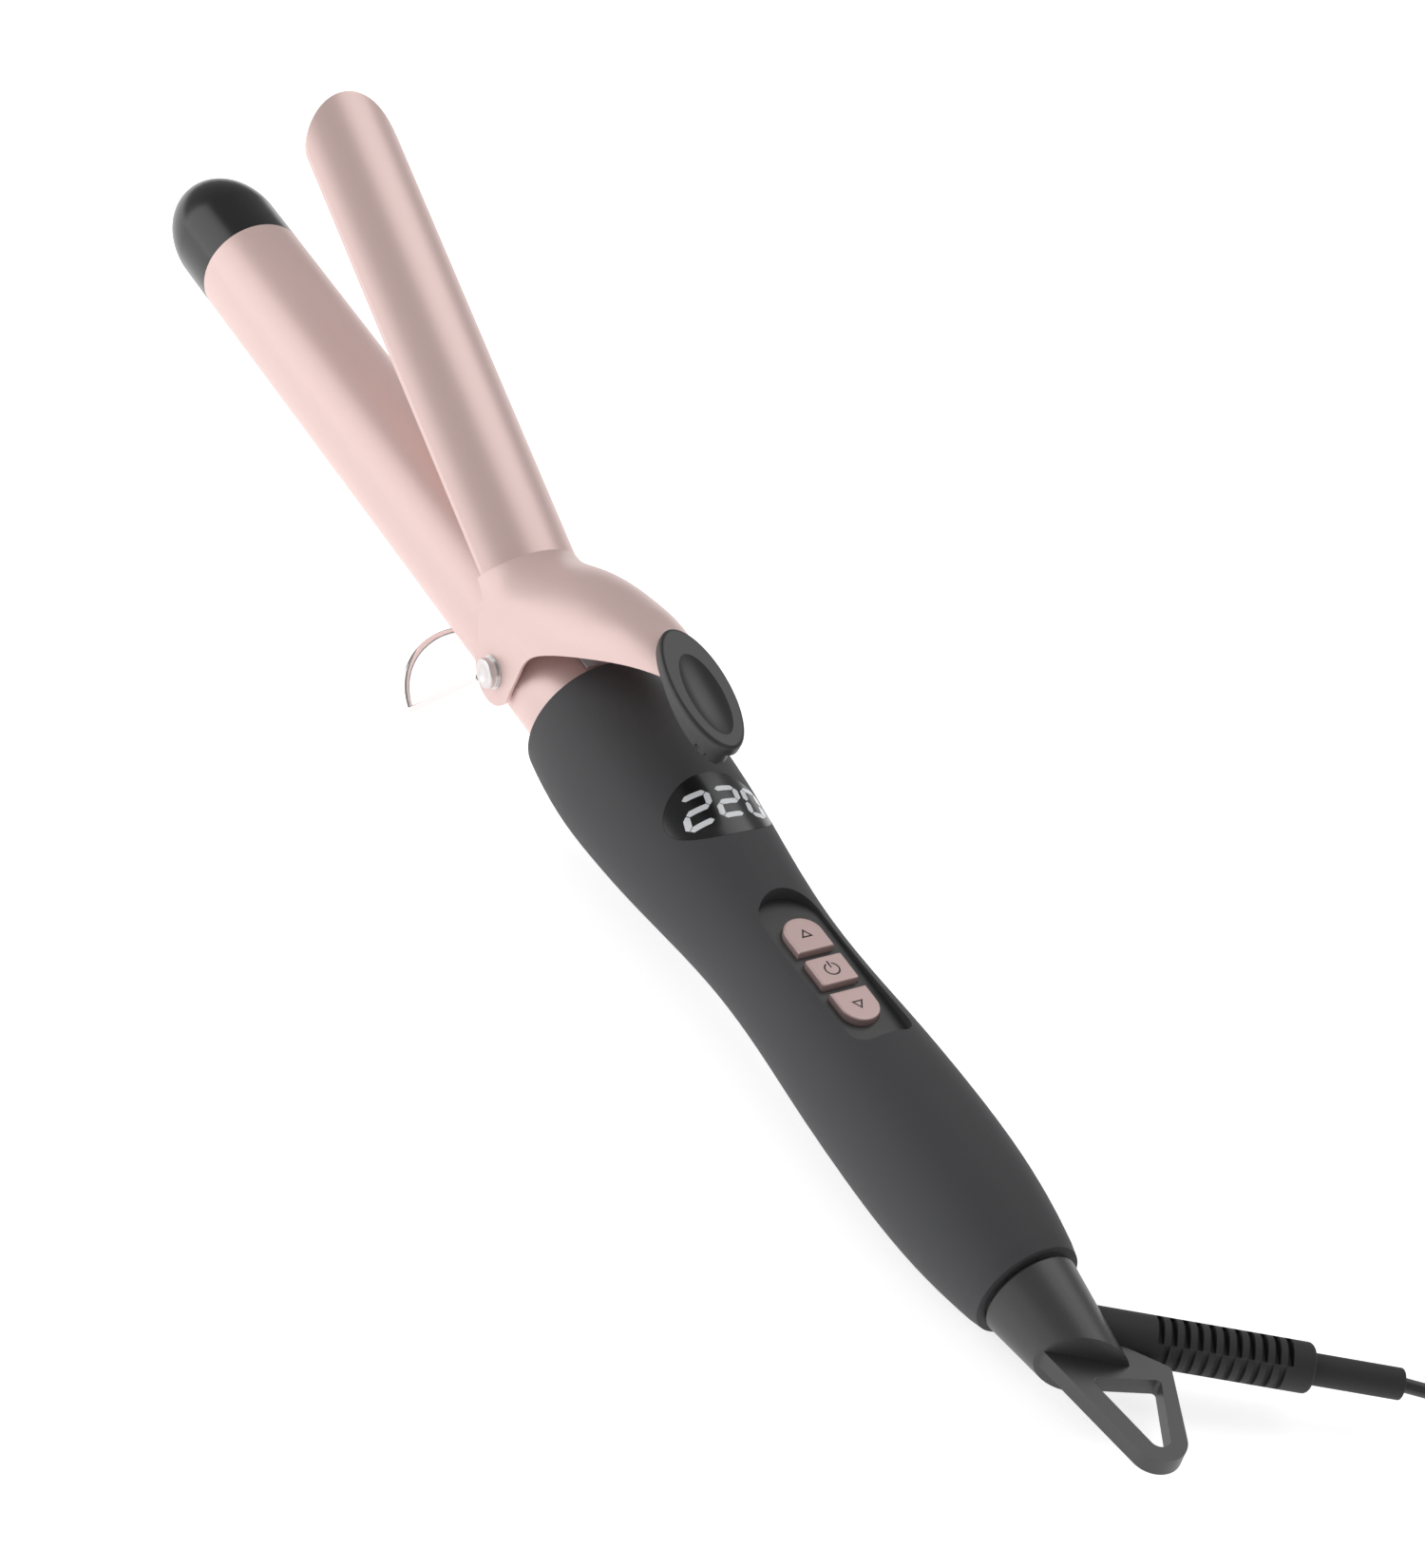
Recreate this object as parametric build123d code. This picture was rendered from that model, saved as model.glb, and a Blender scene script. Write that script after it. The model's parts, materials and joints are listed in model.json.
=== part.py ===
from build123d import *

import os
from math import atan2, cos, degrees, pi, radians, sin, sqrt, tan

# Spring-clip curling iron with a digital handle, a wire stand and a swivelling cord.
#
# The wand is drawn in its own frame: +X along the barrel towards the tip, +Y to the left,
# +Z through the clip and the buttons, and the origin on the axis at the handle's mouth.
# The last step tilts it nose up, as it stands on its wire foot and the handle's belly.

# ---- Driving dimensions, in millimetres and degrees ----

# Barrel and tip
barrel_r = 12.7
barrel_wall = 0.8
barrel_tip_x = 167.4
barrel_rear_x = -29.0
cap_straight = 13.0
cap_dome = 17.5
cap_spigot = 8.0

# Handle: station along the axis and outside radius
handle_profile = [
    (0.0, 16.1),
    (-6.0, 17.0),
    (-15.0, 17.75),
    (-27.0, 17.55),
    (-41.0, 16.5),
    (-57.0, 14.7),
    (-73.0, 13.45),
    (-88.0, 13.5),
    (-105.0, 14.35),
    (-122.0, 14.85),
    (-136.0, 14.75),
    (-148.0, 13.9),
    (-157.0, 12.6),
    (-161.5, 11.75),
]
handle_rear_x = -164.2
handle_rear_r = 11.0
rear_bore_r = 9.1
handle_wall = 2.0
seam_z = -8.0
shell_gap = 0.05

# Clip: rest opening, pivot on the barrel's axis, sheet and paddle
clip_open = 22.4
clip_extra = 5.0
pivot_x = 20.4
sheet = 0.7
clip_gap = 0.3
clip_inner_r = barrel_r + clip_gap
clip_outer_r = clip_inner_r + sheet
paddle_length = 117.7
paddle_half = 11.35
paddle_edge_w = 6.3
crease_u = 19.0
ear_r = 7.3

# Hood stations behind the crease: distance from the pivot, half width, crown height,
# and how tall the arch is for its half width
hood_sections = [
    (crease_u, 13.7, 14.0, 1.0),
    (15.5, 13.8, 16.8, 1.23),
    (12.0, 14.0, 20.8, 1.47),
    (8.0, 14.1, 25.8, 1.6),
    (3.5, 14.1, 30.6, 1.6),
    (-2.0, 14.1, 35.4, 1.6),
    (-7.5, 13.9, 39.5, 1.6),
    (-12.5, 13.0, 43.1, 1.6),
    (-18.0, 11.5, 46.2, 1.6),
    (-27.0, 9.2, 49.7, 1.6),
    (-35.0, 7.4, 52.0, 1.6),
]
hood_end_u = -33.0
ear_half = 13.95

spring_t = 0.5
spring_width = 7.0

# Pivot hardware on each side of the barrel
screw_shank_r = 1.25
screw_shoulder_r = 1.9
screw_head_r = 3.3
screw_head_h = 1.2
running_gap = 0.05
washer_y = ear_half + 0.02
washer_t = 0.25
eyelet_y = washer_y + washer_t + 0.03
eyelet_t = 0.8
eyelet_r = 3.0
head_y = eyelet_y + eyelet_t + 0.05

# Wire stand: two arms and a bowed crossbar
wire_r = 0.9
arm_length = 35.7
arm_angle = -52.4
arm_spread = 17.0
bow_angle = 25.9
bow_depth = 16.2
arm_start = 3.8

# Display and button pocket
window_x = -44.6
window_rx = 8.1
window_ry = 12.2
window_t = 1.2
window_centre_y = -0.6
pocket_front_x = -67.9
pocket_rear_x = -110.0
pocket_half = 6.9
pocket_floor_z = 10.5
button_half = 4.15
button_top_z = 12.1
button_travel = 0.5
button_spans = {
    "button_up": (-75.0, -83.9),
    "button_power": (-86.0, -93.2),
    "button_down": (-95.4, -103.9),
}
mark_r = 1.7
mark_line = 0.38
mark_depth = 0.3
board_z = 3.8
board_t = 1.6
board_half = 8.8

# Swivel tail, hanging loop and strain relief
cone_front_x = -164.9
cone_front_r = 9.7
cone_rear_x = -188.0
cone_rear_r = 6.7
stem_r = 5.0
stem_front_x = -139.5
plate_t = 3.8
relief_angle = 57.8
relief_start = (-182.5, -15.3)
relief_r = 4.75
relief_rib_length = 27.5
relief_collar = 3.2
slot_count = 11
slot_pitch = 2.45
slot_width = 1.2
slot_depth = 2.2
sleeve_r = 3.0
sleeve_length = 17.5

# How the wand stands: nose up, on its wire foot and the handle's belly
tilt = 4.57

# Cord, coil and plug as they lie on the table, in the standing part's frame
cord_r = 1.4
cord_route = [
    (-209.8, -68.1, 6.9),
    (-219.0, -79.5, 3.9),
    (-232.0, -87.2, 2.0),
    (-247.0, -90.2, 1.8),
    (-256.0, -90.3, 1.9),
]
coil_centre = (-262.0, -68.0)
coil_outer_r = 23.7
coil_inner_r = 10.0
coil_height = 11.2
tie_t = 0.5
tie_width = 6.0
tail_route = [
    (-267.5, -45.6, 10.3),
    (-254.0, -45.9, 9.3),
    (-244.0, -35.9, 5.3),
    (-243.8, -21.8, 3.0),
    (-253.8, -11.8, 4.7),
    (-267.5, -11.6, 6.9),
]
plug_rear = (-267.5, -11.6, 6.9)
plug_collar = 11.0
plug_length = 28.0
plug_half_width = 17.6
plug_t = 13.7
plug_pin_gap = 19.0
plug_pin_r = 2.0
plug_pin_length = 19.0

# ---- Helpers ----


def turned(points):
    """A solid of revolution about the X axis from straight (x, r) runs."""
    return revolve(Plane.XZ * make_face(Polyline(*points, close=True)), Axis.X)


def tube_x(x1, x2, r_out, r_in):
    """A ring about the X axis between two stations."""
    return turned([(x1, r_in), (x2, r_in), (x2, r_out), (x1, r_out)])


def rod_x(x1, x2, r, y=0.0, z=0.0):
    """A rod along X between two stations."""
    return Pos((x1 + x2) / 2, y, z) * Rot(0, 90, 0) * Cylinder(r, abs(x2 - x1))


def block(x1, x2, y1, y2, z1, z2):
    """A box from its lowest and highest stations."""
    size = Box(abs(x2 - x1), abs(y2 - y1), abs(z2 - z1))
    return Pos((x1 + x2) / 2, (y1 + y2) / 2, (z1 + z2) / 2) * size


def both_sides(shape):
    """The shape and its mirror image on the other side of the barrel."""
    return shape + mirror(shape, Plane.XZ)


def rod_y(x, z, y1, y2, r):
    """A rod along Y between two heights on the left side."""
    return Pos(x, (y1 + y2) / 2, z) * Rot(90, 0, 0) * Cylinder(r, abs(y2 - y1))


def rod_between(start, end, r):
    """A round rod from one point to another."""
    run = Line(start, end)
    return sweep(Plane(origin=start, z_dir=run % 0) * Circle(r), path=run)


# ---- Handle ----


def handle_solid(inset):
    """The handle's outside, drawn in by an inset, as one closed solid."""
    upper = [(x, r - inset) for x, r in handle_profile]
    front_x = handle_profile[0][0]
    rear_r = (handle_rear_r if inset == 0 else rear_bore_r)
    face = make_face(
        [
            *Spline(*upper).edges(),
            Line(upper[-1], (handle_rear_x, rear_r)),
            Line((handle_rear_x, rear_r), (handle_rear_x, 0)),
            Line((handle_rear_x, 0), (front_x, 0)),
            Line((front_x, 0), upper[0]),
        ]
    )
    return revolve(Plane.XZ * face, Axis.X)


def pocket_outline(grow):
    """The button pocket: round at the front, square with soft corners at the rear."""
    half = pocket_half + grow
    front = pocket_front_x + grow
    rear = pocket_rear_x - grow
    corner = 3.5
    straight_x = front - half
    side = Polyline(
        (straight_x, half),
        (rear + corner, half),
    )
    face = make_face(
        [
            *side.edges(),
            ThreePointArc(
                (rear + corner, half),
                (rear + corner * (1 - sin(pi / 4)), half - corner * (1 - sin(pi / 4))),
                (rear, half - corner),
            ),
            Line((rear, half - corner), (rear, corner - half)),
            ThreePointArc(
                (rear, corner - half),
                (rear + corner * (1 - sin(pi / 4)), corner * (1 - sin(pi / 4)) - half),
                (rear + corner, -half),
            ),
            Line((rear + corner, -half), (straight_x, -half)),
            ThreePointArc((straight_x, -half), (front, 0), (straight_x, half)),
        ]
    )
    return face


def window_prism(grow, top=25.0):
    """The display window's oval outline, raised through the handle's top."""
    oval = Pos(window_x, window_centre_y) * Ellipse(window_rx + grow, window_ry + grow)
    return extrude(Pos(0, 0, 3.0) * oval, top)


def button_face(name, grow):
    """A button's outline: round-ended for up and down, square for power."""
    front, rear = button_spans[name]
    half = button_half + grow
    front, rear = front + grow, rear - grow
    if name == "button_power":
        return Pos((front + rear) / 2, 0) * RectangleRounded(front - rear, 2 * half, 0.5)
    end, flat = (front, rear) if name == "button_up" else (rear, front)
    away = -1 if name == "button_up" else 1
    start = end + away * half
    return make_face(
        [
            Line((flat, half), (start, half)),
            ThreePointArc((start, half), (end, 0), (start, -half)),
            Line((start, -half), (flat, -half)),
            Line((flat, -half), (flat, half)),
        ]
    )


# Station and top of each web across the handle; a screw post stands in each
webs_at = {-33.0: 0.4, -86.0: board_z - 0.1, -133.5: board_z - 0.1}
post_r = 2.7
web_t = 1.6
post_top = 1.0
screw_r = 1.1
screw_head_radius = 2.3


def handle_shells(outside, inside):
    """The upper shell with its pocket, window and webs, and the lower shell under it."""
    shell = outside - inside
    shell -= rod_x(-6, 1, barrel_r + 0.1 + handle_wall)
    boss = extrude(Pos(0, 0, 9.0) * pocket_outline(1.4), 12) & outside
    keep_up = block(-200, 20, -30, 30, seam_z, 40)
    webs = Part()
    for x, top in webs_at.items():
        web = block(x - web_t / 2, x + web_t / 2, -30, 30, seam_z, top)
        webs += web + Pos(x, 0, (seam_z + post_top) / 2) * Cylinder(post_r, post_top - seam_z)
    upper = (shell & keep_up) + boss + (webs & inside)
    upper -= extrude(Pos(0, 0, 5.0) * pocket_outline(0), 20)
    upper -= window_prism(shell_gap)
    lower = shell - block(-200, 20, -30, 30, seam_z - shell_gap, 40)
    for x in webs_at:
        upper -= Pos(x, 0, (seam_z + 0.5) / 2) * Cylinder(screw_r, 0.5 - seam_z)
        post = Pos(x, 0, seam_z - 5) * Cylinder(post_r + 0.4, 10 - 2 * shell_gap)
        lower += post & inside
        lower -= Pos(x, 0, -15) * Cylinder(screw_r + 0.15, 30)
        lower -= Pos(x, 0, -15 + seam_z - 4.0) * Cylinder(screw_head_radius + 0.2, 30)
    return upper, lower


def handle_screws():
    """Three pan-head screws that hold the lower shell from below."""
    head_top = seam_z - 4.0
    screws = Part()
    for x in webs_at:
        shank = Pos(x, 0, (head_top + 0.4) / 2) * Cylinder(screw_r, 0.4 - head_top)
        head = Pos(x, 0, head_top - 0.8) * Cylinder(screw_head_radius, 1.6)
        recess = Pos(x, 0, head_top - 1.4) * (Box(2.8, 0.6, 1.0) + Box(0.6, 2.8, 1.0))
        screws += shank + (head - recess)
    return screws


def display_parts(outside):
    """The curved window, the lit segments behind it, and the module on the board."""
    under = handle_solid(window_t)
    window = (outside - under) & window_prism(0)
    deeper = handle_solid(window_t + 0.35)
    bars = Part()
    for (y_mid, width), lit in zip(digit_places, ("abged", "abged", "abcdef")):
        bars += digit_bars(lit, y_mid, width)
    segments = (under - deeper) & extrude(Pos(0, 0, 3.0) * bars, 25)
    module = block(-51.0, -38.5, -6.8, 6.8, board_z + board_t, 10.6)
    return window, segments, module


digit_places = [(4.6, 6.2), (-2.0, 5.8), (-7.9, 4.6)]
digit_height = 8.2
bar_t = 1.25
bar_gap = 0.12
digit_slant = 0.2


def lit_bar(x, y, reach, along_x):
    """One mitred bar of a digit, its ends pointed, leaning with the digit."""
    b = bar_t / 2
    ends = [(-reach, 0), (b - reach, b), (reach - b, b), (reach, 0), (reach - b, -b), (b - reach, -b)]
    places = [(x + p, y + q) if along_x else (x + q, y + p) for p, q in ends]
    leaning = [(px, py + digit_slant * (window_x - px)) for px, py in places]
    return make_face(Polyline(*leaning, close=True))


def digit_bars(lit, y_mid, width):
    """The lit bars of one seven-segment digit, read from behind the handle."""
    stroke = (digit_height - bar_t) / 2
    side_y = (width - bar_t) / 2
    bars = Sketch()
    across = {"a": 1.0, "g": 0.0, "d": -1.0}
    upright = {"b": (-1, 0.5), "c": (-1, -0.5), "f": (1, 0.5), "e": (1, -0.5)}
    for name in lit:
        if name in across:
            bars += lit_bar(window_x + across[name] * stroke, y_mid, side_y - bar_gap, False)
        else:
            side, row = upright[name]
            x = window_x + row * stroke
            bars += lit_bar(x, y_mid + side * side_y, stroke / 2 - bar_gap, True)
    return bars


def engraved_mark(name):
    """The groove in a button's face: an arrowhead, or a broken ring with a bar."""
    front, rear = button_spans[name]
    mid = (front + rear) / 2
    if name == "button_power":
        ring = Circle(mark_r) - Circle(mark_r - mark_line)
        bar = Pos(mark_r * 0.75, 0) * Rectangle(mark_r * 1.1, mark_line)
        gap = Pos(mark_r, 0) * Rectangle(mark_r * 1.1, 3 * mark_line)
        return Pos(mid, 0) * (ring - gap + bar)
    turn = 0 if name == "button_up" else 180
    arrow = make_face(Polyline((1.3, 0), (-1.0, 1.35), (-1.0, -1.35), close=True))
    return Pos(mid, 0) * Rot(0, 0, turn) * (arrow - offset(arrow, -mark_line))


def control_parts():
    """Button panel, three buttons, their switches, the board and what it carries."""
    panel_bottom = pocket_floor_z - 1.3
    panel = extrude(Pos(0, 0, panel_bottom) * pocket_outline(-shell_gap), 1.3)
    buttons = {}
    switches = Part()
    flange_t = 0.7
    for name, (front, rear) in button_spans.items():
        mid = (front + rear) / 2
        panel -= extrude(Pos(0, 0, 5.0) * button_face(name, 0.15), 10)
        cap = extrude(Pos(0, 0, panel_bottom - 1.0) * button_face(name, 0), button_top_z - panel_bottom + 1.0)
        cap = fillet(cap.faces().sort_by(Axis.Z)[-1].edges(), 0.35)
        cap -= extrude(Pos(0, 0, button_top_z - mark_depth) * engraved_mark(name), 1.0)
        flange_z = panel_bottom - flange_t - 0.1
        flange = extrude(Pos(0, 0, flange_z) * button_face(name, 0.7), flange_t)
        buttons[name] = cap + flange
        top = flange_z - button_travel - 0.2
        base = block(mid - 2.6, mid + 2.6, -2.6, 2.6, board_z + board_t, top - 0.5)
        switches += base + Pos(mid, 0, top - 0.3) * Cylinder(1.5, 0.6)
    board = block(-134.0, -34.5, -board_half, board_half, board_z, board_z + board_t)
    components = board_components()
    return panel, buttons, switches, board, components


def board_components():
    """Relay, mains capacitor, triac and choke hanging under the board."""
    relay = block(-62, -44, -5.5, 5.5, board_z - 9.5, board_z)
    capacitor = rod_x(-81, -66, 4.2, 0, board_z - 4.2)
    triac = block(-96.5, -90.5, -4.5, 4.5, board_z - 5.0, board_z)
    choke = Pos(-103.5, 0, board_z - 3.5) * Cylinder(4.5, 7.0)
    chip = block(-126, -118, -3, 3, board_z + board_t, board_z + board_t + 1.6)
    return relay + capacitor + triac + choke + chip


# ---- Barrel and heater ----


def barrel_parts():
    """The barrel tube, its tip cap, the mouth collar and the ring the pivots screw into."""
    inner_r = barrel_r - barrel_wall
    tube = tube_x(barrel_rear_x, barrel_tip_x, barrel_r, inner_r)
    tube -= both_sides(rod_y(pivot_x, 0, 5, 20, screw_shank_r + 0.15))
    spigot_r = inner_r - shell_gap
    spigot_x = barrel_tip_x - cap_spigot
    dome_x = barrel_tip_x + cap_straight
    arc = EllipticalCenterArc((dome_x, 0), cap_dome, barrel_r, arc_size=90)
    cap_face = make_face(
        [
            *arc.edges(),
            *Polyline(
                (dome_x, barrel_r),
                (barrel_tip_x, barrel_r),
                (barrel_tip_x, spigot_r),
                (spigot_x, spigot_r),
                (spigot_x, spigot_r - 2.0),
                (barrel_tip_x + 4.0, spigot_r - 2.0),
                (barrel_tip_x + 4.0, 0),
                (dome_x + cap_dome, 0),
            ).edges(),
        ]
    )
    cap = revolve(Plane.XZ * cap_face, Axis.X)
    collar = tube_x(-16, -4, barrel_r + 1.9, barrel_r)
    collar += tube_x(-4, 0.0, barrel_r + handle_wall, barrel_r)
    ring = tube_x(pivot_x - 7, pivot_x + 7, inner_r, inner_r - 2.6)
    ring -= both_sides(rod_y(pivot_x, 0, 5, 20, screw_shank_r))
    return tube, cap, collar, ring


def heater_parts():
    """Two half-round spreaders with the ceramic heater and its electrodes between them."""
    front, rear = 154.0, 36.0
    spread_r = barrel_r - barrel_wall - 0.2
    half_gap = 1.9
    round_bar = rod_x(rear, front, spread_r)
    upper = round_bar & block(rear, front, -20, 20, half_gap, 20)
    lower = round_bar & block(rear, front, -20, 20, -20, -half_gap)
    groove = rod_x(rear - 1, rear + 26, 1.6, 0, half_gap + 4.0)
    upper -= groove
    ceramics = Part()
    for k in range(4):
        start = rear + 4 + 28 * k
        ceramics += block(start, start + 26, -7, 7, -1.2, 1.2)
    strips = Part()
    for z in (-1.5, 1.5):
        strips += block(rear - 6, front - 4, -7, 7, z - 0.3, z + 0.3)
    insulation = block(rear, front - 2, -8, 8, 1.8, half_gap)
    insulation += block(rear, front - 2, -8, 8, -half_gap, -1.8)
    sensor = rod_x(rear + 8, rear + 24, 1.4, 0, half_gap + 4.0)
    fuse = rod_x(pivot_x - 6, pivot_x + 6, 1.9, 0, -5.0)
    return upper, lower, ceramics, strips, insulation, sensor, fuse


def heater_leads():
    """Mains and sensor leads from the heater back to the board."""
    leads = Part()
    for y, z in ((-5.0, -1.5), (5.0, 1.5)):
        leads += rod_between((29.5, y, z), (-34.0, y, 2.6), 0.8)
    for y in (-1.0, 1.0):
        leads += rod_between((43.5, y * 0.7, 5.9), (-34.0, y * 1.5, 2.6), 0.45)
    return leads


# ---- Clip, in the closed clip's frame with its origin on the pivot ----


def hood_face(u, half, crown, rise, inset, base):
    """One arched cross-section of the hood, square-footed, at a station."""
    r = half - inset
    spring = crown - rise * half
    height = rise * half - inset * 1.6
    arch = make_face(
        [
            Line((-r, spring), (-r, base)),
            Line((-r, base), (r, base)),
            Line((r, base), (r, spring)),
            EllipticalCenterArc((0, spring), r, height, arc_size=180),
        ]
    )
    return Plane(origin=(u, 0, 0), x_dir=(0, 1, 0), z_dir=(1, 0, 0)) * arch


def hood_solid(inset):
    """The hood as a filled loft, drawn in by an inset."""
    return loft([hood_face(*station, inset, -9.0) for station in hood_sections])


def side_profile():
    """What is kept of the clip seen from the side: paddle, ears and the rising hood."""
    touch = radians(-12)
    front = (ear_r * cos(touch), ear_r * sin(touch))
    corner = (14.2, paddle_edge_w)
    back = (-ear_r * cos(touch), -ear_r * sin(touch))
    rise = Spline(
        back,
        (-5.9, 8.5),
        (-5.2, 13.0),
        (-7.4, 20.6),
        (-12.5, 29.0),
        (-18.0, 36.5),
        (-27.0, 46.0),
        (-33.0, 50.6),
        tangents=[(0.3, 1), (-1, 0.7)],
    )
    return make_face(
        [
            Line((150, paddle_edge_w), corner),
            ThreePointArc(corner, (11.2, 2.8), front),
            ThreePointArc(front, (0, -ear_r), back),
            *rise.edges(),
            *Polyline((-33.0, 50.6), (-40, 50.6), (-40, 60), (150, 60), (150, paddle_edge_w)).edges(),
        ]
    )


def clip_sheet():
    """The pressed clip: a round-ended trough over the barrel, a raised hood and two ears."""
    end_u = crease_u + paddle_length
    trough = tube_x(crease_u - 0.01, end_u, clip_outer_r, clip_inner_r)
    straight = end_u - paddle_half - crease_u + 1.0
    plan = Pos(crease_u - 1.0 + straight / 2, 0) * Rectangle(straight, 2 * paddle_half)
    plan += Pos(end_u - paddle_half, 0) * Circle(paddle_half)
    trough &= extrude(plan, 30)
    hood = hood_solid(0) - hood_solid(sheet)
    hood &= block(hood_end_u, crease_u, -ear_half, ear_half, -30, 60)
    profile = extrude(Plane.XZ * side_profile(), 30, both=True)
    pressed = (trough + hood) & profile
    hole = Rot(90, 0, 0) * Cylinder(screw_shoulder_r + running_gap, 60)
    return pressed - hole - thumb_plane() * extrude(Pos(0, 0, -thumb_lip) * thumb_outline(0.02), 20)


thumb_front = (-18.6, 48.3)
thumb_rear = (-48.4, 52.6)
thumb_half = 6.6
thumb_lip = 2.4
thumb_foot_w = 45.2
dish_depth = 1.2
dish_length = 20.0
dish_width = 7.8


def thumb_length():
    """The thumb rest's length along its own slope."""
    return sqrt((thumb_front[0] - thumb_rear[0]) ** 2 + (thumb_rear[1] - thumb_front[1]) ** 2)


def thumb_plane():
    """The thumb rest's top face, in the middle of the plate."""
    run_u = thumb_front[0] - thumb_rear[0]
    run_w = thumb_rear[1] - thumb_front[1]
    mid_u = (thumb_front[0] + thumb_rear[0]) / 2
    mid_w = (thumb_front[1] + thumb_rear[1]) / 2
    return Pos(mid_u, 0, mid_w) * Rot(0, degrees(atan2(run_w, run_u)), 0)


def thumb_outline(grow):
    """The plate's oval outline."""
    return Ellipse(thumb_length() / 2 + grow, thumb_half + grow)


def thumb_piece():
    """The moulded thumb rest: a dished oval plate on a block inside the hood."""
    plate = extrude(Pos(0, 0, -thumb_lip) * thumb_outline(0), thumb_lip)
    plate = fillet(plate.faces().sort_by(Axis.Z)[-1].edges(), 0.9)
    depth = dish_depth * 2.5
    rim = sqrt(1 - (1 - dish_depth / depth) ** 2)
    bowl = scale(Sphere(1), by=(dish_length / 2 / rim, dish_width / 2 / rim, depth))
    plate -= Pos(-1.6, 0, depth - dish_depth) * bowl
    under = extrude(Pos(0, 0, -10) * thumb_outline(-1.3), 10 - thumb_lip + 0.1)
    under = thumb_plane() * under & block(-60, 0, -20, 20, thumb_foot_w, 60)
    for step in range(3):
        under -= block(-49.0 + 2.4 * step, -48.0 + 2.4 * step, -20, 20, 40, thumb_foot_w + 1.2)
    return thumb_plane() * plate + (under - (hood_solid(-0.02) - hood_solid(sheet + 0.02)))


def leaf_spring():
    """The bent strip spring, fixed on the barrel, that lifts the hood and shuts the clip."""
    start = barrel_r + spring_t / 2 + 0.02
    run = FilletPolyline((3.0, start), (18.0, start), (-3.0, 32.0), radius=3.0)
    strip = extrude(Plane.XZ * trace(run, spring_t), spring_width / 2, both=True)
    rivet = Pos(9.0, 0, start + spring_t / 2 + 0.4) * Cylinder(1.8, 0.8)
    return strip + rivet


# ---- Pivot hardware and stand ----


def pivot_parts():
    """Shouldered pivot screws with dished heads, and their washers, one each side."""
    shank_in = barrel_r - barrel_wall - 2.6
    screw = rod_y(pivot_x, 0, shank_in, barrel_r + 0.02, screw_shank_r)
    screw += rod_y(pivot_x, 0, barrel_r + 0.02, head_y, screw_shoulder_r)
    head = rod_y(pivot_x, 0, head_y, head_y + screw_head_h, screw_head_r)
    head = fillet(head.edges().sort_by(Axis.Y)[-1], 0.5)
    dish = Pos(pivot_x, head_y + screw_head_h + 3.2, 0) * Sphere(3.8)
    washer = rod_y(pivot_x, 0, washer_y, washer_y + washer_t, 3.7)
    washer -= rod_y(pivot_x, 0, washer_y - 1, washer_y + 1, screw_shoulder_r + running_gap)
    return both_sides(screw + (head - dish)), both_sides(washer)


def arm_point(distance, y):
    """A point on the stand's arm, at a distance from the pivot."""
    arm = radians(arm_angle)
    return (pivot_x + distance * cos(arm), y, distance * sin(arm))


def stand_wire():
    """The bent wire stand: eyelets on the pivots, two arms, and a bowed crossbar."""
    bow = radians(bow_angle)
    wire_y = eyelet_y + wire_r + 0.1
    eyelet = rod_y(pivot_x, 0, eyelet_y, eyelet_y + eyelet_t, eyelet_r)
    tongue_mid = Pos(*arm_point(3.6, eyelet_y + eyelet_t / 2))
    tongue = tongue_mid * Rot(0, -arm_angle, 0) * Box(3.0, eyelet_t, 2 * wire_r)
    corner = arm_point(arm_length, arm_spread)
    rod = rod_between(arm_point(arm_start, wire_y), corner, wire_r)
    side = eyelet + tongue + rod + Pos(*corner) * Sphere(wire_r)
    side -= rod_y(pivot_x, 0, eyelet_y - 1, eyelet_y + 2, screw_shoulder_r + running_gap)
    sheet_plane = Plane(
        origin=arm_point(arm_length, 0),
        x_dir=(0, 1, 0),
        z_dir=(sin(bow), 0, -cos(bow)),
    )
    arc = sheet_plane * EllipticalCenterArc((0, 0), arm_spread, bow_depth, arc_size=180)
    bar = sweep(Plane(origin=arc @ 0, z_dir=arc % 0) * Circle(wire_r), path=arc)
    return both_sides(side) + bar


# ---- Tail ----

relief_dir = (-cos(radians(relief_angle)), -sin(radians(relief_angle)))


def relief_point(distance):
    """A point on the strain relief's axis, measured from where the ribs start."""
    return (
        relief_start[0] + distance * relief_dir[0],
        relief_start[1] + distance * relief_dir[1],
        0.0,
    )


def swivel_cone():
    """The turning tail: a cut-off cone with a stem into the handle and a hanging loop."""
    cone = turned(
        [
            (cone_front_x, 0),
            (cone_front_x, cone_front_r - 0.6),
            (cone_front_x - 0.6, cone_front_r),
            (cone_rear_x, cone_rear_r),
            (cone_rear_x, 0),
        ]
    )
    shoulder = Plane(
        origin=(-182.9, 0.6, 0),
        x_dir=(0, 0, 1),
        z_dir=(-sin(radians(relief_angle)), cos(radians(relief_angle)), 0),
    )
    cone -= shoulder * Pos(0, 0, 25) * Box(60, 60, 50)
    stem = rod_x(cone_front_x - 1, stem_front_x, stem_r)
    return cone + stem + loop_plate()


loop_tip = (-203.0, -2.1)
loop_tip_r = 5.25
loop_bar = 3.2


def rounded_hull(circles):
    """The face stretched round a few circles given as (x, y, r)."""
    edges = [e for x, y, r in circles for e in (Pos(x, y) * Circle(r)).edges()]
    return make_hull(edges)


def loop_plate():
    """The flat three-cornered hanging loop."""
    outer = rounded_hull([(-176.0, 2.9, 4.5), (*loop_tip, loop_tip_r), (-190.6, -12.6, 1.2)])
    hole = rounded_hull(
        [
            (-188.2, 1.2, 0.9),
            (*loop_tip, loop_tip_r - loop_bar),
            (-192.6, -9.2, 0.8),
        ]
    )
    return extrude(Pos(0, 0, -plate_t / 2) * (outer - hole), plate_t)


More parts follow.
